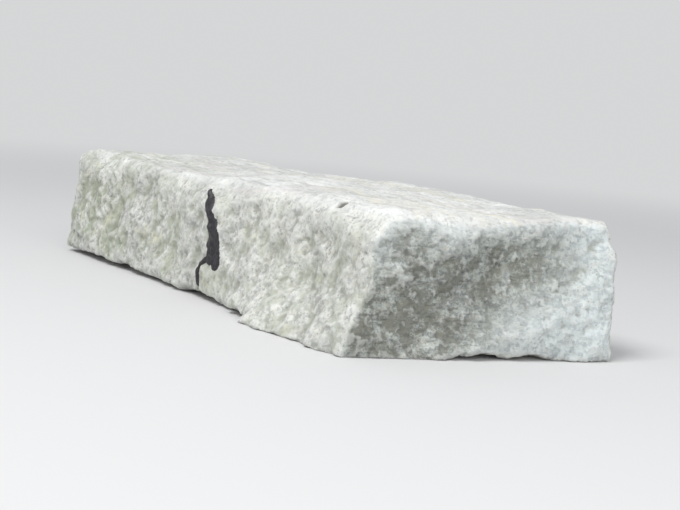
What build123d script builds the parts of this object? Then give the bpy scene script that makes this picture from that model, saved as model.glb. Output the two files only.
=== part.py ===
# A granite kerb stone, rough split on every side and broken to a short length.
# It lies on its wide side: X runs along it, its open long face looks to -Y, +Z is up.
# The stone starts as a block. The waste is struck off it face by face, then along each
# arris, then below its edges, and last come the two hollows of the broken near end. Every
# split surface swells gently and breaks into uneven facets.
from build123d import *
from math import cos, exp, hypot, pi, radians, sin
import os

# The block, in millimetres
front_length = 688.0         # far corner to near corner, along the front face at the bed
stone_width = 274.0          # front face to back face, at the bed
stone_height = 142.0         # bed to top, at the near end
far_fall = 7.0               # how much lower the top is at the far end
near_skew = 62.0             # how much further the near end reaches at its back corner
far_skew = 6.0               # and the far end

# How far each face leans in at the top
front_lean = 13.0
back_lean = 8.0
near_lean = 5.0
far_lean = 3.0

# The foot: near the broken end the front face stands out at the bottom
foot_flare = 27.0            # at the bed, where the foot starts
foot_corner_flare = 16.0     # at the bed, at the near corner
foot_length = 196.0          # from the near corner
foot_run_out = 60.0          # over which it dies out beyond that
foot_rise = 92.0             # height over which it dies out

# The heel: the broken end bulges low down, near its back corner
heel_bulge = 11.0
heel_along = 250.0           # from the near corner, along the end
heel_height = 26.0
heel_spread = 58.0

# Swells of the split faces: height, length, direction in degrees, start in degrees
front_swells = [(3.2, 330.0, 8.0, 20.0), (2.0, 138.0, 62.0, 150.0), (1.0, 74.0, -35.0, 70.0)]
back_swells = [(3.6, 290.0, -6.0, 200.0), (2.2, 120.0, 70.0, 40.0), (1.0, 80.0, 30.0, 10.0)]
top_swells = [(2.6, 420.0, 24.0, 40.0), (1.8, 165.0, 78.0, 10.0), (0.9, 90.0, -20.0, 130.0)]
near_swells = [(4.5, 430.0, -38.0, 20.0), (1.2, 96.0, 40.0, 10.0)]
far_swells = [(3.0, 190.0, 30.0, 100.0), (1.6, 84.0, -50.0, 210.0)]
bevel_swells = [(2.2, 150.0, 0.0, 30.0), (1.2, 61.0, 15.0, 200.0)]
gap_swells = [(0.8, 130.0, 10.0, 0.0), (0.5, 67.0, -30.0, 90.0)]

# Facets that the splitting left: how far their corners lie above or below a face's swells,
# and a number of the face's own, which its scatter starts from
facet_pitch = 38.0           # from one corner to the next
facet_stray = 0.30           # how far one lies off an even grid, as a share of the pitch
front_facets = (2.4, 10)
back_facets = (2.8, 20)
near_facets = (1.3, 30)
far_facets = (2.2, 40)
top_facets = (1.2, 50)
bevel_facets = (1.5, 60)
gap_facets = (0.8, 70)

# Bevels knocked along the arrises: how deep each cuts, and how steeply it looks up or down
top_front_depth = 7.0
top_front_slope = 40.0
top_back_depth = 6.0
top_back_slope = 50.0
near_lip_depth = 12.0        # at the near corner
near_lip_back_depth = 6.0    # at the back corner
near_lip_slope = 52.0
far_lip_depth = 6.0
far_lip_slope = 42.0
bed_back_depth = 8.0
bed_back_slope = -40.0
bed_far_depth = 7.0
bed_far_slope = -42.0
corner_depth = 7.0           # the upright arrises

# Undercuts, where the stone stands clear of what it lies on
front_gap_rise = 7.0         # below the front face, from the far end to the foot
front_gap_reach = 42.0       # how far it runs in under the stone
front_gap_overlap = 13.0     # how far it runs in beside the foot
end_gap_rise = 6.0           # below the broken end
end_gap_reach = 34.0
end_gap_start = 52.0         # from the near corner, along the end
end_gap_length = 170.0
gap_run_out = 34.0           # over which a gap closes at its ends
gap_close = 2.0              # how far its roof drops there, as a share of its rise

# Hollows of the broken end: two shallow scoops along one slant, with a ridge between them
hollow_slant = 25.0          # degrees, rising towards the back
main_radius = 98.0
main_depth = 12.0
main_height = 16.0           # of its middle line, at the near corner
upper_radius = 84.0
upper_depth = 8.0
upper_height = 106.0
scoop_length = 3 * stone_width     # so that it runs out past both sides of the end

# The block's spare, and the surfaces that cut it
spare = 14.0                 # how much larger the block is than the stone, all round
margin = foot_flare + 2 * spare    # how far a surface runs past the stone
bevel_reach = 34.0           # half the width of one that cuts a bevel
fewest_facets = 2            # across a narrow surface
waste_depth = 160.0          # thickness of the waste outside it
outline_fit = 0.5            # how closely the stone's outline is followed to centre it

# The block's corners at the bed, and the level direction that each side looks to
half_length = front_length / 2
half_width = stone_width / 2
near_front = Vector(half_length, -half_width, 0)
near_back = Vector(half_length + near_skew, half_width, 0)
far_front = Vector(-half_length, -half_width, 0)
far_back = Vector(-half_length + far_skew, half_width, 0)
front_out = Vector(0, -1, 0)
back_out = Vector(0, 1, 0)
near_out = Vector(stone_width, -near_skew, 0).normalized()
far_out = Vector(-stone_width, far_skew, 0).normalized()


def swell_height(u, v, swells):
    """Height of a few crossing swells at a place on a face."""
    total = 0.0
    for height, length, direction, start in swells:
        along = u * cos(radians(direction)) + v * sin(radians(direction))
        total += height * sin(2 * pi * along / length + radians(start))
    return total


def scatter(column, row, start):
    """A number from -1 to 1 that looks like chance, and is always the same at a place."""
    return sin(12.9898 * column + 78.233 * row + 37.719 * start) * 43758.5453 % 2 - 1


def spread(low, high):
    """Evenly spaced places from low to high, about facet_pitch apart."""
    count = max(fewest_facets, round((high - low) / facet_pitch))
    return [low + (high - low) * index / count for index in range(count + 1)]


def facet_corners(u_places, v_places, proud, roughness, start):
    """The corners of a surface's facets: columns of a grid, shifted and raised by chance inside."""
    shift = facet_stray * facet_pitch
    columns = []
    for column, u in enumerate(u_places):
        corners = []
        for row, v in enumerate(v_places):
            inside_u = 0 < column < len(u_places) - 1
            inside_v = 0 < row < len(v_places) - 1
            at_u = u + shift * scatter(column, row, start) * inside_u
            at_v = v + shift * scatter(column, row, start + 1) * inside_v
            height = proud(at_u, at_v) + roughness * scatter(column, row, start + 2)
            corners.append(Vector(at_u, at_v, height))
        columns.append(corners)
    return columns


def facet_outlines(columns, start):
    """Two triangles for each field of the grid, split along one diagonal or the other."""
    triangles = []
    for column in range(len(columns) - 1):
        for row in range(len(columns[0]) - 1):
            low_left, high_left = columns[column][row:row + 2]
            low_right, high_right = columns[column + 1][row:row + 2]
            if scatter(column, row, start + 3) > 0:
                triangles += [(low_left, low_right, high_right), (low_left, high_right, high_left)]
            else:
                triangles += [(low_left, low_right, high_left), (low_right, high_right, high_left)]
    return triangles


def waste(plane, u_range, v_range, proud, roughness, start):
    """What lies outside a faceted surface that stands about proud(u, v) of a plane."""
    columns = facet_corners(spread(*u_range), spread(*v_range), proud, roughness, start)
    left, right = columns[0], columns[-1]
    low = [corners[0] for corners in columns]
    high = [corners[-1] for corners in columns]
    ends = (left[0], right[0], right[-1], left[-1])
    lid = [Vector(end.X, end.Y, waste_depth) for end in ends]
    walls = [left + [lid[3], lid[0]], right + [lid[2], lid[1]],
             low + [lid[1], lid[0]], high + [lid[2], lid[3]]]
    faces = []
    for outline in facet_outlines(columns, start) + walls + [lid]:
        faces.append(Face(Wire.make_polygon([plane.from_local_coords(place) for place in outline])))
    return Solid(Shell(faces))


def smooth_step(value):
    """0 below 0, 1 above 1, and a smooth rise between them."""
    value = min(1.0, max(0.0, value))
    return value * value * (3 - 2 * value)


def foot_proud(u, v):
    """How far the foot stands out of the front face."""
    from_corner = front_length - u
    flare = foot_corner_flare + (foot_flare - foot_corner_flare) * from_corner / foot_length
    start = smooth_step((foot_length + foot_run_out - from_corner) / foot_run_out)
    fall = max(0.0, 1 - v / foot_rise)
    return flare * start * fall ** 2


def heel_proud(u, v):
    """How far the heel stands out of the broken end."""
    away = hypot(u - heel_along, v - heel_height) / heel_spread
    return heel_bulge * exp(-away ** 2)


def no_bulge(u, v):
    """A side with nothing standing out of it."""
    return 0.0


def side_waste(corner, outward, length, lean, swells, facets, bulge=no_bulge):
    """The waste outside an upright side that starts at a corner and leans in at the top."""
    def proud(u, v):
        return swell_height(u, v, swells) + bulge(u, v) - lean * v / stone_height
    plane = Plane(origin=corner, x_dir=Vector(0, 0, 1).cross(outward), z_dir=outward)
    return waste(plane, (-margin, length + margin), (-margin, stone_height + margin), proud, *facets)


def top_fall(u):
    """How far the top has fallen at a place u from the far end."""
    return far_fall * (1 - u / front_length)


def struck_sides():
    """The waste outside the four sides and the top."""
    top = Plane(origin=far_front + Vector(0, 0, stone_height), x_dir=(1, 0, 0), z_dir=(0, 0, 1))
    full_length = front_length + max(near_skew, 0)
    near_span = hypot(stone_width, near_skew)
    far_span = hypot(stone_width, far_skew)
    return [
        side_waste(far_front, front_out, full_length, front_lean, front_swells, front_facets,
                   foot_proud),
        side_waste(near_back, back_out, full_length, back_lean, back_swells, back_facets),
        side_waste(near_front, near_out, near_span, near_lean, near_swells, near_facets,
                   heel_proud),
        side_waste(far_back, far_out, far_span, far_lean, far_swells, far_facets),
        waste(top, (-margin, full_length + margin), (-margin, stone_width + margin),
              lambda u, v: swell_height(u, v, top_swells) - top_fall(u), *top_facets),
    ]


def bevel(start, end, outward, depth, end_depth=None):
    """The waste beyond a bevel along the arris from start to end, as deep all along or tapered."""
    length = (end - start).length
    change = 0.0 if end_depth is None else end_depth - depth
    plane = Plane(origin=start, x_dir=end - start, z_dir=outward)
    return waste(plane, (-margin, length + margin), (-bevel_reach, bevel_reach),
                 lambda u, v: swell_height(u, v, bevel_swells) - depth - change * u / length,
                 *bevel_facets)


def sloping(level, slope):
    """A level direction turned to look up by a slope in degrees, or down where it is negative."""
    return level * cos(radians(slope)) + Vector(0, 0, sin(radians(slope)))


def top_corner(corner, *leans):
    """A corner of the top: above the one at the bed, and in by the lean of the sides there."""
    place = corner + Vector(0, 0, stone_height - top_fall(corner.X + half_length))
    for outward, lean in leans:
        place = place - outward * lean
    return place


def struck_arrises():
    """The waste beyond the bevels along the top, the bed and the upright corners."""
    front = (front_out, front_lean)
    back = (back_out, back_lean)
    near = (near_out, near_lean)
    far = (far_out, far_lean)
    near_front_top = top_corner(near_front, front, near)
    near_back_top = top_corner(near_back, back, near)
    far_front_top = top_corner(far_front, front, far)
    far_back_top = top_corner(far_back, back, far)
    cuts = [
        bevel(far_front_top, near_front_top, sloping(front_out, top_front_slope), top_front_depth),
        bevel(near_back_top, far_back_top, sloping(back_out, top_back_slope), top_back_depth),
        bevel(near_front_top, near_back_top, sloping(near_out, near_lip_slope), near_lip_depth,
              near_lip_back_depth),
        bevel(far_back_top, far_front_top, sloping(far_out, far_lip_slope), far_lip_depth),
        bevel(near_back, far_back, sloping(back_out, bed_back_slope), bed_back_depth),
        bevel(far_back, far_front, sloping(far_out, bed_far_slope), bed_far_depth),
    ]
    uprights = [
        (near_back, near_back_top, near_out + back_out),
        (far_back, far_back_top, far_out + back_out),
        (far_front, far_front_top, far_out + front_out),
    ]
    for low, high, outward in uprights:
        cuts.append(bevel(low, high, outward.normalized(), corner_depth))
    return cuts


def gap(corner, along, outward, start, end, rise, reach):
    """The waste of a gap below an edge: as high as rise at the edge, and gone at reach."""
    down = (outward * rise - Vector(0, 0, reach)).normalized()
    plane = Plane(origin=corner - outward * reach, x_dir=along, z_dir=down)

    def proud(u, v):
        closed = 1 - smooth_step(min(u - start, end - u) / gap_run_out)
        return gap_close * rise * closed + swell_height(u, v, gap_swells)
    return waste(plane, (start, end), (-reach, 2 * reach), proud, *gap_facets)


def struck_gaps():
    """The waste of the gaps below the front face and the broken end."""
    along_end = Vector(0, 0, 1).cross(near_out)
    front_gap_end = front_length - foot_length + front_gap_overlap
    return [
        gap(far_front, Vector(1, 0, 0), front_out, -margin, front_gap_end,
            front_gap_rise, front_gap_reach),
        gap(near_front, along_end, near_out, end_gap_start, end_gap_start + end_gap_length,
            end_gap_rise, end_gap_reach),
    ]


def scoop(height, radius, depth):
    """A long round that hollows the broken end along the slant."""
    along = Vector(0, 0, 1).cross(near_out)
    axis = sloping(along, hollow_slant)
    middle = near_front + Vector(0, 0, height) + near_out * (radius - depth)
    start = middle - axis * scoop_length / 2
    return extrude(Plane(origin=start, z_dir=axis) * Circle(radius), amount=scoop_length)


def full_block():
    """The block, a little larger than the stone all round, apart from the bed."""
    low = Vector(min(far_front.X, far_back.X) - spare, -half_width - foot_flare - spare, 0)
    high = Vector(max(near_front.X, near_back.X) + spare, half_width + spare, stone_height + spare)
    size = high - low
    return Pos(low) * Box(size.X, size.Y, size.Z, align=Align.MIN)


def centred(solid):
    """The solid moved so that the origin is under the middle of its box."""
    points = solid.tessellate(outline_fit)[0]
    middle_x = (min(point.X for point in points) + max(point.X for point in points)) / 2
    middle_y = (min(point.Y for point in points) + max(point.Y for point in points)) / 2
    return Pos(-middle_x, -middle_y, 0) * solid


hollows = [
    scoop(main_height, main_radius, main_depth),
    scoop(upper_height, upper_radius, upper_depth),
]
stone = full_block()
for struck in struck_sides() + struck_arrises() + struck_gaps() + hollows:
    stone = stone - struck
stone = centred(stone.solid())

os.makedirs("parts", exist_ok=True)
export_step(stone, "parts/kerb_stone.step")
print("kerb_stone", stone.bounding_box().size, "mm,", round(stone.volume / 1e6, 2), "litres")
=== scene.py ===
# The looks of a rough split granite kerb stone: its broken relief, its grain and its weathering.
import itertools
import math

import bpy
import numpy as np
from mathutils import Euler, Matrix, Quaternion, Vector
from mathutils.bvhtree import BVHTree


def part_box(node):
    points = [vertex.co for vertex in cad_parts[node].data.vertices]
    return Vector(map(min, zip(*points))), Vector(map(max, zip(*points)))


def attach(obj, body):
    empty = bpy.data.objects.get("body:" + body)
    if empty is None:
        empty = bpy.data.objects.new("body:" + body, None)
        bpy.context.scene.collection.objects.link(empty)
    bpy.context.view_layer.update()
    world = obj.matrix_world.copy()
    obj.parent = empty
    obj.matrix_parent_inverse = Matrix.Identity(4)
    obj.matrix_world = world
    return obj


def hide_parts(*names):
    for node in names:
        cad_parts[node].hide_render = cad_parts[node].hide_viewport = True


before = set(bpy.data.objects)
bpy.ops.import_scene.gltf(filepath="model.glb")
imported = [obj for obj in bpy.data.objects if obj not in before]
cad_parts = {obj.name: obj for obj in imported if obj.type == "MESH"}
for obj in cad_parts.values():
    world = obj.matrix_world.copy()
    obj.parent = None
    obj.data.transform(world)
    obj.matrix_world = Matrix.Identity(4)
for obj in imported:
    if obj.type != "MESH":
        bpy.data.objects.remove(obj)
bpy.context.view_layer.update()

# Sizes are in metres, and colours in linear light

# The skin, an even mesh over the solid that is then worn and roughened
VOXEL = 0.00275              # spacing of its vertices
BED_BAND = 0.0008            # what lies this close to the bed's plane belongs to the bed
BED_RELIEF = 0.3             # the bed's relief, as a share of the other faces'

# Rounds of smoothing
ARRIS_ROUNDS = 34            # round the arrises
WEAR_ROUNDS = 2              # blur the rims of their chips
NORMAL_ROUNDS = 6            # steady the way in which the relief rises
FACE_ROUNDS = 30             # even out which face a vertex belongs to
HOLLOW_ROUNDS, HOLLOW_DEPTH = 8, 0.0009      # the small hollows, which hold dirt and take painted crease shade
BASIN_ROUNDS, BASIN_DEPTH = 60, 0.0022       # the wide ones, which hold silt and take painted shade

# Wear of the arrises: 0 leaves them sharp, and 1 rounds them as far as the smoothing goes
WEAR_EVEN, WEAR_KNOCKED, WEAR_UNEVEN = 0.22, 0.85, 0.25
WEAR_LEAST, WEAR_MOST = 0.08, 1.15
ARRIS_CHIP = 0.026           # about how long a knocked-off piece is

# Layers of relief: how large the forms of each are, and how far they rise and fall
LARGE_FACET, LARGE_FACET_RISE = 0.036, 0.0036
SMALL_FACET, SMALL_FACET_RISE = 0.0170, 0.0026
SWELL, SWELL_RISE = 0.034, 0.0008
SPLINTER, SPLINTER_RISE = 0.0085, 0.0013
GRAIN, GRAIN_RISE = 0.0060, 0.0003

# Chips: how large they are, and their slopes and steps as shares of that
LARGE_CHIP, LARGE_CHIP_SLOPE, LARGE_CHIP_STEP = 0.0135, 0.115, 0.060
SMALL_CHIP, SMALL_CHIP_SLOPE, SMALL_CHIP_STEP = 0.0068, 0.085, 0.075

# The share of the relief that some faces lack
COARSE_LOSS = {"broken": 0.35, "top": 0.60}
FINE_LOSS = {"broken": 0.15, "top": 0.55}

# Faces: how squarely a face has to look its own way before its look begins, and how much
# further before that is complete
FRONT_FROM, TOP_FROM, BROKEN_FROM = 0.45, 0.50, 0.60
FACE_BLEND = 0.25

# The broken end: the level direction that it looks to, and the spots that darken it, partly a
# real stain and partly painted shade under its overhangs and near its bed, each with its place
# across and up the end, its reach, and how dark it is
BROKEN_OUT = np.array([0.975, -0.22, 0.0])
DARK_AND_SHADED_SPOTS = [
    (-0.140, 0.022, 0.052, 1.30),
    (-0.085, 0.006, 0.048, 1.00),
    (-0.085, 0.060, 0.040, 0.90),
    (-0.050, 0.036, 0.042, 0.75),
    (-0.038, 0.078, 0.028, 0.70),
    (-0.020, 0.045, 0.045, 0.50),
    (-0.005, 0.088, 0.034, 0.88),
    (0.030, 0.092, 0.036, 0.80),
    (0.068, 0.098, 0.036, 0.50),
    (-0.080, 0.104, 0.030, 0.68),
]
DARKEST = 0.93               # the most that one spot takes

# Pits in the top, from the photograph: the place of each, and its half length and width
TOP_PITS = [
    (-0.261, -0.062, 0.011, 0.014), (0.027, -0.062, 0.006, 0.010), (0.221, -0.100, 0.006, 0.006),
    (0.262, -0.075, 0.005, 0.008),
]
PIT_DEPTH = 0.0045
PIT_RIM, PIT_FLOOR = 1.3, 0.3    # how far out its rim and its floor reach, in those halves

# The bitumen run on the front: lines of places along and up it, with half its width there
BITUMEN_LINES = [
    [(-0.014, 0.1225, 0.0030), (-0.0095, 0.117, 0.0042), (-0.006, 0.109, 0.0082),
     (-0.001, 0.102, 0.0068), (0.0037, 0.0925, 0.0078), (0.0075, 0.084, 0.0112),
     (0.010, 0.075, 0.0136), (0.0114, 0.0645, 0.0138), (0.013, 0.056, 0.0138)],
    [(0.019, 0.056, 0.0090), (0.021, 0.0455, 0.0078)],
    [(0.003, 0.0475, 0.0040), (-0.008, 0.041, 0.0032), (-0.0118, 0.034, 0.0032),
     (-0.0124, 0.025, 0.0036), (-0.0115, 0.0165, 0.0028)],
]
BITUMEN_LEFT, BITUMEN_RIGHT = -0.036, 0.056
BITUMEN_LOW, BITUMEN_HIGH = 0.006, 0.134
BITUMEN_STEP = 0.0010
BITUMEN_THICK = 0.0030       # at its middle
BITUMEN_KEY = 0.0020         # how far it sits into the stone's skin
BITUMEN_SINK = 0.0001        # how far its rim lies under the skin
BITUMEN_DIP = 0.0010         # how much deeper it goes for each half width past the rim
BITUMEN_END = -0.15          # where it ends, in half widths inside the rim
RAY_START = 0.1              # how far in front of the stone the rays start that find its skin

# Waves that make a rim uneven: the height, the size and the seed of each layer of noise
PIT_WAVES = [(0.55, 0.009, 33), (0.35, 0.0045, 34)]
BITUMEN_WAVES = [(0.16, 0.012, 71), (0.08, 0.005, 72)]

# Grains: how many there are in a metre, and how far their edges wander
GRAIN_CELLS, SPECK_CELLS = 300.0, 640.0
GRAIN_WANDER = 0.0030
MICA_SHINE = 0.22            # how much less rough mica is
GRAIN_BUMP, SPECK_BUMP, FINEST_BUMP = 0.9, 0.55, 0.9

# Colours of the grains: a pair is the two ends of a range
FELDSPAR = (0.78, 0.78, 0.74, 1), (0.66, 0.665, 0.63, 1)
QUARTZ = (0.42, 0.43, 0.43, 1), (0.53, 0.54, 0.53, 1)
WARM_GRAIN = (0.64, 0.56, 0.46, 1)
MICA = (0.085, 0.09, 0.085, 1)

# The pale film over the grains: how much less of it there is on the broken end, and how much
# more where that end is dry, where it also paints light on the bulge that faces up, and on the
# top, which is rain-washed and also painted lighter as if lit from above
FILM_LESS_BROKEN, FILM_MORE_DRY_LIT, FILM_MORE_TOP_LIT = 0.10, 0.22, 0.22

# Growth: how strong it is, and how much more of it is laid on towards the far end, which darkens that
# end
GROWTH, FAR_DARKER = 0.78, 0.70
FAR_FROM, FAR_TO = 0.02, -0.26           # places along the stone
HIDDEN_GROWTH = 0.5                      # on the faces behind
ARRIS_GROWTH = 0.7                       # over the arris at the far end
ARRIS_FROM, ARRIS_TO = 0.12, -0.12       # places across the stone

# The washed band below the top: how much growth it lacks, and how much less that is at the far
# end; the heights from which and to which it begins, and how far those wander
WASHED, WASHED_LESS_FAR = 0.75, 0.45
WASHED_FROM, WASHED_TO = 0.112, 0.142
WASHED_WANDER = 0.050

# Colours of the weathering, some of which also paint light or shade as marked below, and of the
# bitumen, clean and dusty
PALE_SIDE = (0.70, 0.72, 0.665, 1)
# the top's pale colour: rain-washed, and partly painted light from above
PALE_LIT_TOP = (0.80, 0.815, 0.80, 1)
# the dry end's pale cool colour: partly its film, partly painted skylight on its bulge
PALE_LIT_END = (0.74, 0.775, 0.785, 1)
OLIVE = (0.405, 0.435, 0.345, 1)
YELLOW = (0.68, 0.67, 0.49, 1)
DARK_SPECK = (0.25, 0.27, 0.225, 1)
ROSE_TO_YELLOW = (0.66, 0.61, 0.59, 1), (0.72, 0.67, 0.50, 1)
GREY_SCORE = (0.42, 0.43, 0.41, 1)
LEVEL_STREAK = (0.22, 0.23, 0.22, 1)
# hollows and crests: dirt and silt with painted crease shade, and wear with a painted highlight
DIRT_AND_CREASE_SHADE = (0.22, 0.22, 0.18, 1)
SILT_AND_SHADE = (0.33, 0.34, 0.27, 1)
RUBBED_AND_HIGHLIT = (0.82, 0.83, 0.80, 1)
DARK_PIT = (0.10, 0.088, 0.075, 1)
BITUMEN_BLACKS = (0.012, 0.011, 0.015, 1), (0.060, 0.056, 0.062, 1)

# Tints, which multiply the colour under them
# painted shade: the cool tone of the broken end lying in skylit shade
COOL_SHADE_TINT = (0.94, 0.99, 1.0, 1)
# the tint of the end's dark spots: partly a stain, partly painted shade
SOAKED_AND_SHADED_TINT = (0.36, 0.348, 0.315, 1)

# Camera, from the photograph
CAMERA_AT = Vector((1.284, -0.868, 0.260))
AIM_DIRECTION = Vector((-0.803, 0.582, -0.131))
CAMERA_ROLL = math.radians(5.0)
CAMERA_LENS = 70.0           # in mm, as the sensor's width
CAMERA_SENSOR = 36.0

# Stage
BACKGROUND = (0.67, 0.675, 0.68, 1)
SURROUND = (0.55, 0.56, 0.575, 1)
FLOOR_GREY = (0.64, 0.64, 0.64, 1)
FLOOR_ROUGH = 0.9
FLOOR_HALF = 30.0
FLOOR_UNDER = 0.0002         # how far it lies under the bed
FLOOR_KEPT = 0.9             # the floor shows its own shading as far as this from the stone
FLOOR_GONE = 2.8             # and none beyond this

# Lamps: the place of each, where it points, its width, and its watts
KEY_LAMP = (0.5, -1.6, 2.7), (0.0, 0.0, 0.05), 1.3, 66.0
FILL_LAMP = (2.4, -0.5, 1.2), (0.2, 0.0, 0.05), 1.6, 18.0

# Factors of the hash that every fixed random number comes from, and the largest it gives
CELL_FACTORS = 73856093, 19349663, 83492791
SEED_FACTOR = 2654435761
MIXING_FACTORS = 0x85EBCA6B, 0xC2B2AE35
LARGEST = 0xFFFFFFFF

# Turns the grid of creased noise, so that none of its planes is level with a face
LATTICE_TURN = np.array(Euler((0.61, 0.38, 0.85)).to_matrix())

low_corner, high_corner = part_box("kerb_stone")


def whole_hash(cells, seed):
    """A fixed random whole number for each cell of a grid, given as whole coordinates."""
    mixed = np.bitwise_xor.reduce(cells * np.array(CELL_FACTORS), axis=1)
    mixed = (mixed ^ seed * SEED_FACTOR) & LARGEST
    for factor in MIXING_FACTORS:
        mixed = mixed ^ mixed >> 15
        mixed = mixed * factor & LARGEST
    return mixed ^ mixed >> 16


def cell_random(cells, seed):
    """A fixed random number from 0 to 1 for each cell."""
    return whole_hash(cells, seed) / LARGEST


def cell_vectors(cells, seed):
    """A fixed random vector for each cell, each part from 0 to 1."""
    return np.stack([cell_random(cells, seed + 11 * axis) for axis in range(3)], 1)


def gradient_noise(places, size, seed):
    """Smooth noise of about -1 to 1, with swellings about size across."""
    scaled = places / size
    base = np.floor(scaled).astype(np.int64)
    local = scaled - base
    fade = local ** 3 * (local * (local * 6 - 15) + 10)
    total = np.zeros(len(places))
    for corner in itertools.product((0, 1), repeat=3):
        step = np.array(corner)
        slope = cell_vectors(base + step, seed) * 2 - 1
        weight = np.prod(np.where(step == 1, fade, 1 - fade), axis=1)
        total += ((local - step) * slope).sum(1) * weight
    return total * 1.5


def waves(places, layers):
    """Layers of smooth noise added up: the height, the size and the seed of each."""
    return sum(height * gradient_noise(places, size, seed) for height, size, seed in layers)


def creased_noise(places, size, seed):
    """Noise from -1 to 1 in flat facets about size across, which meet in creases."""
    scaled = places @ LATTICE_TURN / size
    corner = np.floor(scaled).astype(np.int64)
    local = scaled - corner
    order = np.argsort(-local, axis=1)
    falling = np.pad(np.take_along_axis(local, order, axis=1), ((0, 0), (0, 1)))
    total = (1 - falling[:, 0]) * cell_random(corner, seed)
    rows = np.arange(len(places))
    for step in range(3):
        corner[rows, order[:, step]] += 1
        total += (falling[:, step] - falling[:, step + 1]) * cell_random(corner, seed)
    return total * 2 - 1


def nearest_cell(places, size, seed):
    """The cell of the nearest of some scattered points about size apart, and the way to it."""
    scaled = places / size
    base = np.floor(scaled).astype(np.int64)
    nearest = np.full(len(places), np.inf)
    owner = np.zeros_like(base)
    toward = np.zeros_like(places)
    for offset in itertools.product((-1, 0, 1), repeat=3):
        cell = base + np.array(offset)
        reach = cell + cell_vectors(cell, seed) - scaled
        distance = (reach ** 2).sum(1)
        closer = distance < nearest
        nearest = np.where(closer, distance, nearest)
        owner = np.where(closer[:, None], cell, owner)
        toward = np.where(closer[:, None], reach, toward)
    return owner, toward


def bending(places, size, amount, seed):
    """A smooth uneven shift that bends straight patterns."""
    shifts = [gradient_noise(places, size, seed + axis) for axis in range(3)]
    return np.stack(shifts, 1) * amount


def broken_facets(places, size, slope, step, seed):
    """Height of small tilted facets about size across, with steps between them."""
    owner, toward = nearest_cell(places, size, seed)
    tilt = cell_vectors(owner, seed + 40) * 2 - 1
    stepped = (cell_random(owner, seed + 80) - 0.5) * step
    return ((toward * tilt).sum(1) * slope + stepped) * size


def ramp(value, low, high):
    """0 at low, 1 at high, and smooth between."""
    share = np.clip((value - low) / (high - low), 0, 1)
    return share * share * (3 - 2 * share)


def unit(vectors):
    """Vectors made one long."""
    return vectors / np.linalg.norm(vectors, axis=1)[:, None]


def coordinates(mesh):
    """The vertices of a mesh as an array."""
    flat = np.empty(len(mesh.vertices) * 3, np.float32)
    mesh.vertices.foreach_get("co", flat)
    return flat.reshape(-1, 3).astype(float)


def set_coordinates(mesh, places):
    """Moves the vertices of a mesh."""
    mesh.vertices.foreach_set("co", places.astype(np.float32).ravel())
    mesh.update()


def vertex_normals(mesh):
    """The normals at the vertices of a mesh as an array."""
    flat = np.empty(len(mesh.vertices) * 3, np.float32)
    mesh.vertex_normals.foreach_get("vector", flat)
    return flat.reshape(-1, 3).astype(float)


def edge_ends(mesh):
    """The two vertices of each edge."""
    flat = np.empty(len(mesh.edges) * 2, np.int32)
    mesh.edges.foreach_get("vertices", flat)
    return flat.reshape(-1, 2)


def store(mesh, name, values):
    """Keeps a number for each vertex, for the material to read."""
    layer = mesh.attributes.new(name, "FLOAT", "POINT")
    layer.data.foreach_set("value", values.astype(np.float32))


def shade_smooth(mesh):
    """Shades a mesh as one even surface."""
    mesh.polygons.foreach_set("use_smooth", [True] * len(mesh.polygons))


def add_object(name, data):
    """A new object in the scene."""
    made = bpy.data.objects.new(name, data)
    bpy.context.scene.collection.objects.link(made)
    return made


def smoothed(values, ends, rounds):
    """Values at the vertices, averaged over their neighbours a number of times."""
    count = len(values)
    starts = np.concatenate([ends[:, 0], ends[:, 1]])
    finishes = np.concatenate([ends[:, 1], ends[:, 0]])
    degree = np.maximum(np.bincount(starts, minlength=count), 1)
    for _ in range(rounds):
        columns = [np.bincount(starts, weights=values[finishes, axis], minlength=count)
                   for axis in range(values.shape[1])]
        values = 0.5 * values + 0.5 * np.stack(columns, 1) / degree[:, None]
    return values


def remeshed_copy(source, name, voxel):
    """An even mesh over a closed one, as a new object."""
    copy = add_object(name + "_source", source.data.copy())
    remesh = copy.modifiers.new("even", "REMESH")
    remesh.mode = "VOXEL"
    remesh.voxel_size = voxel
    evaluated = copy.evaluated_get(bpy.context.evaluated_depsgraph_get())
    mesh = bpy.data.meshes.new_from_object(evaluated)
    mesh.name = name
    bpy.data.objects.remove(copy)
    return add_object(name, mesh)


def weather_arrises(places, ends):
    """Rounds the sharp edges, and knocks chips off them here and there."""
    soft = smoothed(places, ends, ARRIS_ROUNDS)
    bent = places + bending(places, size=0.030, amount=0.006, seed=31)
    owner, _ = nearest_cell(bent, ARRIS_CHIP, seed=3)
    knocked = ramp(cell_random(owner, seed=4), low=0.45, high=0.95)
    uneven = gradient_noise(places, size=0.070, seed=5)
    worn = WEAR_EVEN + WEAR_KNOCKED * knocked + WEAR_UNEVEN * uneven
    worn = smoothed(np.clip(worn, WEAR_LEAST, WEAR_MOST)[:, None], ends, WEAR_ROUNDS)
    return places + (soft - places) * worn


def coarse_relief(places):
    """Height of the split face's own facets over the even face."""
    bent = places + bending(places, size=0.040, amount=0.008, seed=21)
    twisted = places + bending(places, size=0.015, amount=0.0035, seed=24)
    return (creased_noise(bent, LARGE_FACET, seed=6) * LARGE_FACET_RISE
            + creased_noise(twisted, SMALL_FACET, seed=7) * SMALL_FACET_RISE
            + gradient_noise(bent, SWELL, seed=12) * SWELL_RISE)


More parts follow.
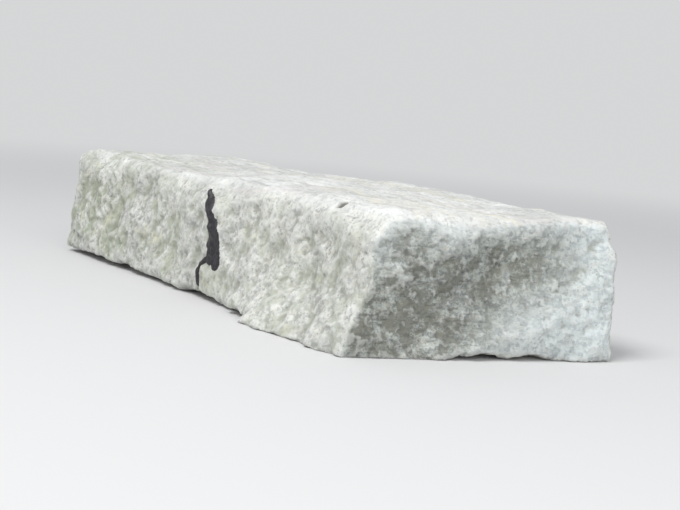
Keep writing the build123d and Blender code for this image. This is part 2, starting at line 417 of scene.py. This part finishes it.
def fine_relief(places):
    """Height of the chips and grains over those facets."""
    twisted = places + bending(places, size=0.012, amount=0.0030, seed=27)
    return (creased_noise(twisted, SPLINTER, seed=8) * SPLINTER_RISE
            + broken_facets(twisted, LARGE_CHIP, LARGE_CHIP_SLOPE, LARGE_CHIP_STEP, seed=9)
            + broken_facets(places, SMALL_CHIP, SMALL_CHIP_SLOPE, SMALL_CHIP_STEP, seed=10)
            + gradient_noise(places, GRAIN, seed=14) * GRAIN_RISE)


def what_is_left(losses, shares):
    """The share of some relief that each vertex keeps, where some faces lack part of it."""
    left = 1.0
    for face, loss in losses.items():
        left = left - loss * shares[face]
    return left


def whole_relief(places, shares, pitted, on_bed):
    """Height of the skin over the even face. On the bed it only sinks, so the bed stays level."""
    coarse = coarse_relief(places) * what_is_left(COARSE_LOSS, shares)
    fine = fine_relief(places) * what_is_left(FINE_LOSS, shares)
    height = coarse + fine - pitted * PIT_DEPTH
    return np.where(on_bed, -np.abs(height) * BED_RELIEF, height)


def pits(places, top):
    """How far each vertex lies in one of the few uneven pits that the photograph shows."""
    uneven = waves(places, PIT_WAVES)
    inside = np.zeros(len(places))
    for x, y, half_long, half_wide in TOP_PITS:
        away = np.hypot((places[:, 0] - x) / half_long, (places[:, 1] - y) / half_wide)
        away = away + uneven * np.minimum(away * 2, 1)
        inside = np.maximum(inside, top * ramp(away, PIT_RIM, PIT_FLOOR))
    return inside


def end_stain_and_shade_spots(places):
    """How dark the broken end is at each vertex, in spots that run together: partly a stain, and
    partly painted shade under its overhangs and near its bed.
    """
    clean = np.ones(len(places))
    for across, up, reach, darkness in DARK_AND_SHADED_SPOTS:
        away = ((places[:, 1] - across) ** 2 + (places[:, 2] - up) ** 2) / reach ** 2
        clean *= 1 - DARKEST * np.minimum(darkness * np.exp(-away), 1)
    return 1 - clean


def face_shares(normals):
    """How much each vertex belongs to the front, the top and the broken end."""
    return {
        "front": ramp(-normals[:, 1], FRONT_FROM, FRONT_FROM + FACE_BLEND),
        "top": ramp(normals[:, 2], TOP_FROM, TOP_FROM + FACE_BLEND),
        "broken": ramp(normals @ BROKEN_OUT, BROKEN_FROM, BROKEN_FROM + FACE_BLEND),
    }


def sunk(places, normals, ends, rounds, depth):
    """From 0 on a rise to 1 in a hollow that is depth deep, on the scale of some smoothing."""
    below = ((smoothed(places, ends, rounds) - places) * normals).sum(1)
    return np.clip(below / depth, -1, 1) * 0.5 + 0.5


def make_skin():
    """The stone's visible skin, over the solid's own shape."""
    piece = remeshed_copy(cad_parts["kerb_stone"], "granite_skin", VOXEL)
    mesh = piece.data
    ends = edge_ends(mesh)
    even = coordinates(mesh)
    on_bed = even[:, 2] < low_corner.z + BED_BAND
    places = weather_arrises(even, ends)
    places[on_bed, 2] = even[on_bed, 2]
    set_coordinates(mesh, places)
    normals = unit(smoothed(vertex_normals(mesh), ends, NORMAL_ROUNDS))
    shares = face_shares(unit(smoothed(normals, ends, FACE_ROUNDS)))
    pitted = pits(places, shares["top"])
    relief = whole_relief(places, shares, pitted, on_bed)
    moved = places + normals * relief[:, None]
    moved = np.clip(moved, np.array(low_corner), np.array(high_corner))
    set_coordinates(mesh, moved)
    store(mesh, "hollow", sunk(moved, normals, ends, HOLLOW_ROUNDS, HOLLOW_DEPTH))
    store(mesh, "basin", sunk(moved, normals, ends, BASIN_ROUNDS, BASIN_DEPTH))
    # dark spots on the broken end: partly a stain, partly painted shade
    store(mesh, "damp_and_shade", end_stain_and_shade_spots(moved))
    store(mesh, "pitted", pitted)
    for name, share in shares.items():
        store(mesh, name, share)
    shade_smooth(mesh)
    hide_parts("kerb_stone")
    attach(piece, "root")
    return piece


def line_cover(across, up, line):
    """How far inside a line of uneven width places are: 1 on its middle, 0 at its rim."""
    cover = np.full(len(across), -np.inf)
    for (start_a, start_u, start_half), (end_a, end_u, end_half) in zip(line, line[1:]):
        run_a, run_u = end_a - start_a, end_u - start_u
        share = ((across - start_a) * run_a + (up - start_u) * run_u) / (run_a ** 2 + run_u ** 2)
        share = np.clip(share, 0, 1)
        away = np.hypot(across - start_a - share * run_a, up - start_u - share * run_u)
        cover = np.maximum(cover, 1 - away / (start_half + (end_half - start_half) * share))
    return cover


def bitumen_cover(grid):
    """How far inside the bitumen's uneven rim each place of a grid on the front is."""
    covers = np.max([line_cover(grid[:, 0], grid[:, 2], line) for line in BITUMEN_LINES], axis=0)
    return covers + waves(grid, BITUMEN_WAVES)


def slab_vertices(tree, grid):
    """Vertices of the slab on the skin, with the outer and the inner one at each covered place."""
    vertices, outer, inner = [], {}, {}
    for index, ((x, _, z), cover) in enumerate(zip(grid, bitumen_cover(grid))):
        if cover <= BITUMEN_END:
            continue
        before = Vector((x, low_corner.y - RAY_START, z))
        place, normal, _, _ = tree.ray_cast(before, Vector((0, 1, 0)))
        if place is None:
            continue
        height = (BITUMEN_THICK * math.sqrt(max(cover, 0.0)) + BITUMEN_DIP * min(cover, 0.0)
                  - BITUMEN_SINK)
        outward = (normal + Vector((0, -1, 0))).normalized()
        outer[index] = len(vertices)
        vertices.append(place + outward * height)
        inner[index] = len(vertices)
        vertices.append(place - outward * BITUMEN_KEY)
    return vertices, outer, inner


def covered_quads(covered, rows):
    """The quads of a grid, so many rows high, whose four corners are all covered."""
    quads = []
    for index in covered:
        around = (index, index + rows, index + rows + 1, index + 1)
        if (index + 1) % rows and all(corner in covered for corner in around):
            quads.append(around)
    return quads


def slab_faces(quads, outer, inner):
    """The faces of a closed slab over some quads: its outside, its inside and its rim."""
    faces = []
    for around in quads:
        faces.append([outer[corner] for corner in around])
        faces.append([inner[corner] for corner in reversed(around)])
    edges = [edge for around in quads for edge in zip(around, around[1:] + around[:1])]
    known = set(edges)
    for start, end in edges:
        if (end, start) not in known:
            faces.append([outer[end], outer[start], inner[start], inner[end]])
    return faces


def make_bitumen(skin):
    """A dark run of bitumen down the front, with a drip at its foot."""
    tree = BVHTree.FromPolygons([vertex.co for vertex in skin.data.vertices],
                                [polygon.vertices for polygon in skin.data.polygons])
    columns = round((BITUMEN_RIGHT - BITUMEN_LEFT) / BITUMEN_STEP)
    rows = round((BITUMEN_HIGH - BITUMEN_LOW) / BITUMEN_STEP)
    grid = np.array([(BITUMEN_LEFT + column * BITUMEN_STEP, 0.0, BITUMEN_LOW + row * BITUMEN_STEP)
                     for column in range(columns) for row in range(rows)])
    vertices, outer, inner = slab_vertices(tree, grid)
    mesh = bpy.data.meshes.new("bitumen_run")
    mesh.from_pydata(vertices, [], slab_faces(covered_quads(outer, rows), outer, inner))
    mesh.validate()
    shade_smooth(mesh)
    piece = add_object("bitumen_run", mesh)
    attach(piece, "root")
    return piece


class Nodes:
    """Adds shader nodes to a material or a world, one call each."""

    def __init__(self, owner):
        owner.use_nodes = True
        self.tree = owner.node_tree
        self.shader = self.tree.nodes.get("Principled BSDF")

    def add(self, kind, inputs=None, **settings):
        """A node of a kind, with its settings, and its inputs given as values or as outputs."""
        node = self.tree.nodes.new(kind)
        for name, value in settings.items():
            setattr(node, name, value)
        for key, value in (inputs or {}).items():
            self.join(node.inputs[key], value)
        return node

    def join(self, socket, value):
        """Links an output to an input, or sets the input."""
        if isinstance(value, bpy.types.NodeSocket):
            self.tree.links.new(value, socket)
        else:
            socket.default_value = value

    def place(self):
        """The place on the piece, in its own frame."""
        return self.add("ShaderNodeTexCoord").outputs["Object"]

    def scaled(self, place, scale):
        """The place stretched along each axis."""
        return self.add("ShaderNodeMapping", {"Vector": place, "Scale": scale}).outputs["Vector"]

    def kept(self, name):
        """A number kept at the vertices."""
        return self.add("ShaderNodeAttribute", attribute_name=name).outputs["Fac"]

    def math(self, operation, first, second, clamp=False):
        """One sum with two numbers."""
        node = self.add("ShaderNodeMath", {0: first, 1: second}, operation=operation,
                        use_clamp=clamp)
        return node.outputs[0]

    def times(self, first, *others):
        """Some numbers multiplied."""
        for other in others:
            first = self.math("MULTIPLY", first, other)
        return first

    def vector_math(self, operation, inputs):
        """One sum with vectors."""
        return self.add("ShaderNodeVectorMath", inputs, operation=operation).outputs["Vector"]

    def remap(self, value, low=0.0, high=1.0, to_low=0.0, to_high=1.0):
        """A number moved from one range to another, smooth at its ends."""
        node = self.add("ShaderNodeMapRange", {
            "Value": value, "From Min": low, "From Max": high, "To Min": to_low,
            "To Max": to_high}, interpolation_type="SMOOTHSTEP")
        return node.outputs["Result"]

    def noise(self, place, scale, detail=3.0, roughness=0.55, distortion=0.0):
        """Smooth noise from 0 to 1."""
        node = self.add("ShaderNodeTexNoise", {
            "Vector": place, "Scale": scale, "Detail": detail, "Roughness": roughness,
            "Distortion": distortion})
        return node.outputs["Fac"]

    def blotches(self, place, span, to=(0.0, 1.0), **settings):
        """Blotches: noise with the span of its middle values moved to another range."""
        return self.remap(self.noise(place, **settings), *span, *to)

    def cells(self, place, scale):
        """Scattered cells, each with three random numbers of its own."""
        node = self.add("ShaderNodeTexVoronoi", {"Vector": place, "Scale": scale})
        return self.add("ShaderNodeSeparateColor", {"Color": node.outputs["Color"]}).outputs

    def mix(self, share, first, second, blend="MIX"):
        """A blend of two colours."""
        node = self.add("ShaderNodeMix", {"Factor": share}, data_type="RGBA", blend_type=blend)
        first_colour, second_colour = [socket for socket in node.inputs if socket.type == "RGBA"]
        self.join(first_colour, first)
        self.join(second_colour, second)
        return next(socket for socket in node.outputs if socket.type == "RGBA")

    def cover(self, colour, over, *shares, strength):
        """A colour with another laid over it, as far as all of some shares and a strength go."""
        return self.mix(self.times(*shares, strength), colour, over)

    def finish(self, colour, roughness, height, strength, distance):
        """Gives the material's shader its colour, its roughness and its bumps."""
        bump = self.add("ShaderNodeBump", {"Height": height, "Strength": strength,
                                           "Distance": distance})
        self.join(self.shader.inputs["Base Color"], colour)
        self.join(self.shader.inputs["Roughness"], roughness)
        self.join(self.shader.inputs["Normal"], bump.outputs["Normal"])


class Granite(Nodes):
    """Light grey granite, layer by layer. Each layer takes the colour under it."""

    def __init__(self, material):
        super().__init__(material)
        self.spot = self.place()
        self.front = self.kept("front")
        self.top = self.kept("top")
        self.broken = self.kept("broken")
        self.damp_and_shade = self.kept("damp_and_shade")
        wander = self.add("ShaderNodeTexNoise", {"Vector": self.spot, "Scale": 420.0,
                                                 "Detail": 2.0}).outputs["Color"]
        wander = self.vector_math("SUBTRACT", {0: wander, 1: (0.5, 0.5, 0.5)})
        wander = self.vector_math("SCALE", {0: wander, "Scale": GRAIN_WANDER})
        bent = self.vector_math("ADD", {0: self.spot, 1: wander})
        self.grain = self.cells(bent, GRAIN_CELLS)
        self.speck = self.cells(bent, SPECK_CELLS)
        clumps = self.blotches(self.spot, scale=70.0, detail=2.0, span=(0.35, 0.65),
                               to=(0.90, 0.985))
        self.is_mica = self.math("GREATER_THAN", self.speck["Red"], clumps)

    def grains(self):
        """Feldspar, quartz, some warm grains and dark mica, which is weaker on the broken end."""
        feldspar = self.mix(self.grain["Green"], *FELDSPAR)
        quartz = self.mix(self.grain["Blue"], *QUARTZ)
        is_quartz = self.remap(self.grain["Red"], low=0.68, high=0.74)
        colour = self.mix(is_quartz, feldspar, quartz)
        is_warm = self.remap(self.grain["Red"], low=0.10, high=0.07)
        colour = self.cover(colour, WARM_GRAIN, is_warm, strength=0.45)
        strength = self.remap(self.broken, to_low=0.60, to_high=0.48)
        return self.cover(colour, MICA, self.is_mica, strength=strength)

    def film(self, colour):
        """A pale film over the grain, thinnest on the end's dark spots and thicker on the dry end and
        the top, where it is partly painted light, and a slow change of tone.
        """
        film = self.blotches(self.spot, scale=60.0, detail=5.0, roughness=0.68,
                             span=(0.36, 0.64), to=(0.14, 0.54))
        # the dry end, made paler partly as painted light on its bulge that faces up
        dry_lit_end = self.times(self.broken, self.math("SUBTRACT", 1.0, self.damp_and_shade))
        film = self.math("SUBTRACT", film, self.times(self.broken, FILM_LESS_BROKEN))
        film = self.math("ADD", film, self.times(dry_lit_end, FILM_MORE_DRY_LIT))
        # the top, made paler partly as painted light from above
        film = self.math("ADD", film, self.times(self.top, FILM_MORE_TOP_LIT), clamp=True)
        pale = self.mix(self.top, PALE_SIDE, PALE_LIT_TOP)
        pale = self.mix(dry_lit_end, pale, PALE_LIT_END)
        colour = self.mix(film, colour, pale)
        tone = self.blotches(self.spot, scale=16.0, detail=5.0, roughness=0.62,
                             span=(0.32, 0.68), to=(0.80, 1.10))
        tone = self.add("ShaderNodeCombineColor", {"Red": tone, "Green": tone, "Blue": tone})
        return self.mix(1.0, colour, tone.outputs["Color"], "MULTIPLY")

    def growth_share(self):
        """Where olive and yellow growth can be.

        It keeps clear of the washed band below the top, is laid on more thickly towards the far end,
        which darkens that end, reaches over the arris there, and is thinner on the faces behind.
        """
        along, across, up = self.add("ShaderNodeSeparateXYZ", {"Vector": self.spot}).outputs
        wander = self.times(self.noise(self.spot, scale=14.0), WASHED_WANDER)
        washed = self.remap(self.math("ADD", up, wander), WASHED_FROM, WASHED_TO)
        far = self.remap(along, FAR_FROM, FAR_TO)
        less = self.math("SUBTRACT", WASHED, self.times(far, WASHED_LESS_FAR))
        washed = self.times(washed, less)
        grown = self.times(self.front, self.math("SUBTRACT", 1.0, washed))
        arris = self.times(far, self.remap(across, ARRIS_FROM, ARRIS_TO), ARRIS_GROWTH)
        hidden = self.math("SUBTRACT", HIDDEN_GROWTH, self.top)
        hidden = self.math("SUBTRACT", hidden, self.broken, clamp=True)
        grown = self.math("MAXIMUM", self.math("MAXIMUM", grown, arris), hidden)
        # more of it towards the far end, which darkens that end
        return self.times(grown, self.math("ADD", self.times(far, FAR_DARKER), GROWTH))

    def growth(self, colour):
        """The growth itself: olive patches, yellow ones and dark specks."""
        grown = self.growth_share()
        olive = self.blotches(self.spot, scale=30.0, detail=6.0, roughness=0.70,
                              distortion=0.5, span=(0.43, 0.60))
        colour = self.cover(colour, OLIVE, olive, grown, strength=0.74)
        yellow = self.blotches(self.spot, scale=27.0, detail=5.0, roughness=0.7,
                               distortion=0.3, span=(0.55, 0.68))
        colour = self.cover(colour, YELLOW, yellow, grown, strength=0.42)
        specks = self.blotches(self.spot, scale=105.0, detail=4.0, roughness=0.75,
                               span=(0.54, 0.66))
        return self.cover(colour, DARK_SPECK, specks, grown, strength=0.62)

    def top_streaks(self, colour):
        """Faint streaks along the top in yellow and rose, and fine grey scores."""
        along = self.scaled(self.spot, (0.16, 1.0, 1.0))
        streaks = self.blotches(along, scale=46.0, detail=5.0, roughness=0.62, span=(0.48, 0.70))
        hue = self.blotches(along, scale=19.0, detail=2.0, span=(0.42, 0.58))
        hue = self.mix(hue, *ROSE_TO_YELLOW)
        colour = self.cover(colour, hue, streaks, self.top, strength=0.55)
        longer = self.scaled(self.spot, (0.07, 1.0, 1.0))
        scores = self.blotches(longer, scale=95.0, detail=4.0, roughness=0.6, span=(0.54, 0.66))
        return self.cover(colour, GREY_SCORE, scores, self.top, strength=0.46)

    def end_tint_stain_and_shade(self, colour):
        """The broken end: a cool tint painted as the skylit shade it lies in, level streaks, and dark
        spots that are partly a stain and partly painted shade.
        """
        # painted shade: the end's cool skylit tone
        colour = self.mix(self.broken, colour, COOL_SHADE_TINT, "MULTIPLY")
        level = self.scaled(self.spot, (1.0, 0.30, 1.5))
        streaks = self.blotches(level, scale=120.0, detail=5.0, roughness=0.68, span=(0.51, 0.60))
        strength = self.remap(self.damp_and_shade, to_low=0.22, to_high=0.48)
        colour = self.cover(colour, LEVEL_STREAK, streaks, self.broken, strength=strength)
        mottle = self.blotches(self.spot, scale=60.0, detail=7.0, roughness=0.78,
                               span=(0.38, 0.62), to=(0.40, 1.45))
        # the end's dark spots: partly a stain, partly painted shade under overhangs and near the bed
        soaked_and_shaded = self.math("MULTIPLY", self.times(self.damp_and_shade, mottle), self.broken, clamp=True)
        return self.mix(soaked_and_shaded, colour, SOAKED_AND_SHADED_TINT, "MULTIPLY")

    def dirt(self, colour):
        """Dirt and silt in the hollows, partly painted crease shade; rubbed crests, partly a painted
        highlight; and dark pits.
        """
        hollow = self.kept("hollow")
        # dirt in the small hollows, partly painted crease shade
        in_shaded_hollow = self.remap(hollow, low=0.55, high=1.0)
        colour = self.cover(colour, DIRT_AND_CREASE_SHADE, in_shaded_hollow, strength=0.38)
        # silt in the wide hollows, partly painted shade
        in_shaded_basin = self.remap(self.kept("basin"), low=0.55, high=1.0)
        colour = self.cover(colour, SILT_AND_SHADE, in_shaded_basin, strength=0.28)
        # rubbed crests, partly a painted highlight
        on_highlit_crest = self.remap(hollow, low=0.44, high=0.05)
        colour = self.cover(colour, RUBBED_AND_HIGHLIT, on_highlit_crest, strength=0.34)
        in_pit = self.remap(self.kept("pitted"), low=0.20, high=0.95)
        return self.cover(colour, DARK_PIT, in_pit, strength=0.80)

    def roughness(self):
        """Uneven from grain to grain, and shinier on mica."""
        dull = self.remap(self.speck["Green"], to_low=0.64, to_high=0.90)
        return self.math("SUBTRACT", dull, self.times(self.is_mica, MICA_SHINE))

    def bumps(self):
        """Steps from grain to grain, and a fine roughness."""
        steps = self.times(self.grain["Green"], GRAIN_BUMP)
        steps = self.math("ADD", steps, self.times(self.speck["Blue"], SPECK_BUMP))
        finest = self.noise(self.spot, scale=700.0, detail=4.0, roughness=0.7)
        return self.math("ADD", steps, self.times(finest, FINEST_BUMP))


def granite_material():
    """Granite under its weathering."""
    material = bpy.data.materials.new("granite")
    granite = Granite(material)
    colour = granite.grains()
    for layer in (granite.film, granite.growth, granite.top_streaks, granite.end_tint_stain_and_shade,
                  granite.dirt):
        colour = layer(colour)
    granite.finish(colour, granite.roughness(), granite.bumps(), strength=0.9, distance=0.0007)
    return material


def bitumen_material():
    """Old bitumen: black, and paler and duller where dust has settled."""
    material = bpy.data.materials.new("bitumen")
    nodes = Nodes(material)
    place = nodes.place()
    dust = nodes.blotches(place, scale=260.0, detail=5.0, roughness=0.7, span=(0.45, 0.75))
    colour = nodes.mix(dust, *BITUMEN_BLACKS)
    roughness = nodes.math("ADD", nodes.times(dust, 0.30), 0.50)
    wrinkles = nodes.noise(place, scale=420.0, roughness=0.6)
    nodes.finish(colour, roughness, wrinkles, strength=0.5, distance=0.0006)
    return material


def seen_directly(nodes):
    """1 where the eye, or a mirror or glass in front of it, sees a surface: no light from it."""
    rays = nodes.add("ShaderNodeLightPath")
    seen = nodes.math("MAXIMUM", rays.outputs["Is Camera Ray"], rays.outputs["Is Glossy Ray"])
    return nodes.math("MAXIMUM", seen, rays.outputs["Is Transmission Ray"])


def floor_material():
    """A plain pale floor that turns into the background's own colour far from the stone."""
    material = bpy.data.materials.new("floor")
    nodes = Nodes(material)
    nodes.shader.inputs["Base Color"].default_value = FLOOR_GREY
    nodes.shader.inputs["Roughness"].default_value = FLOOR_ROUGH
    away = nodes.add("ShaderNodeVectorMath", {0: nodes.place()}, operation="LENGTH")
    far = nodes.remap(away.outputs["Value"], FLOOR_KEPT, FLOOR_GONE)
    far = nodes.times(far, seen_directly(nodes))
    plain = nodes.add("ShaderNodeEmission", {"Color": BACKGROUND})
    both = nodes.add("ShaderNodeMixShader", {
        0: far, 1: nodes.shader.outputs[0], 2: plain.outputs[0]})
    nodes.join(nodes.tree.nodes["Material Output"].inputs["Surface"], both.outputs[0])
    return material


def make_floor():
    """A wide plain floor, just under the stone's bed."""
    half, level = FLOOR_HALF, -FLOOR_UNDER
    corners = [(-half, -half, level), (half, -half, level), (half, half, level), (-half, half, level)]
    mesh = bpy.data.meshes.new("floor")
    mesh.from_pydata(corners, [], [(0, 1, 2, 3)])
    mesh.materials.append(floor_material())
    add_object("floor", mesh)


def area_lamp(name, place, target, size, watts):
    """A soft square lamp at a place, turned to a target."""
    light = bpy.data.lights.new(name, "AREA")
    light.shape = "SQUARE"
    light.size = size
    light.energy = watts
    lamp = add_object(name, light)
    lamp.location = place
    lamp.rotation_mode = "QUATERNION"
    lamp.rotation_quaternion = (Vector(target) - Vector(place)).to_track_quat("-Z", "Y")


def make_lights():
    """A broad soft key from above the front, a weak fill at the end, and an even pale surround."""
    area_lamp("key", *KEY_LAMP)
    area_lamp("fill", *FILL_LAMP)
    world = bpy.data.worlds.new("surround")
    bpy.context.scene.world = world
    nodes = Nodes(world)
    light = nodes.tree.nodes["Background"]
    light.inputs["Color"].default_value = SURROUND
    plain = nodes.add("ShaderNodeBackground", {"Color": BACKGROUND})
    both = nodes.add("ShaderNodeMixShader", {
        0: seen_directly(nodes), 1: light.outputs[0], 2: plain.outputs[0]})
    nodes.join(nodes.tree.nodes["World Output"].inputs["Surface"], both.outputs[0])


def make_camera():
    """The camera stands where the photograph was taken from, turned to the stone."""
    camera = add_object("camera", bpy.data.cameras.new("camera"))
    camera.data.lens = CAMERA_LENS
    camera.data.sensor_width = CAMERA_SENSOR
    camera.location = CAMERA_AT
    camera.rotation_mode = "QUATERNION"
    turned = AIM_DIRECTION.to_track_quat("-Z", "Y")
    camera.rotation_quaternion = Quaternion(AIM_DIRECTION.normalized(), -CAMERA_ROLL) @ turned
    bpy.context.scene.camera = camera


skin = make_skin()
skin.data.materials.clear()
skin.data.materials.append(granite_material())
bitumen = make_bitumen(skin)
bitumen.data.materials.append(bitumen_material())
make_floor()
make_lights()
make_camera()
bpy.context.scene.view_settings.view_transform = "Standard"
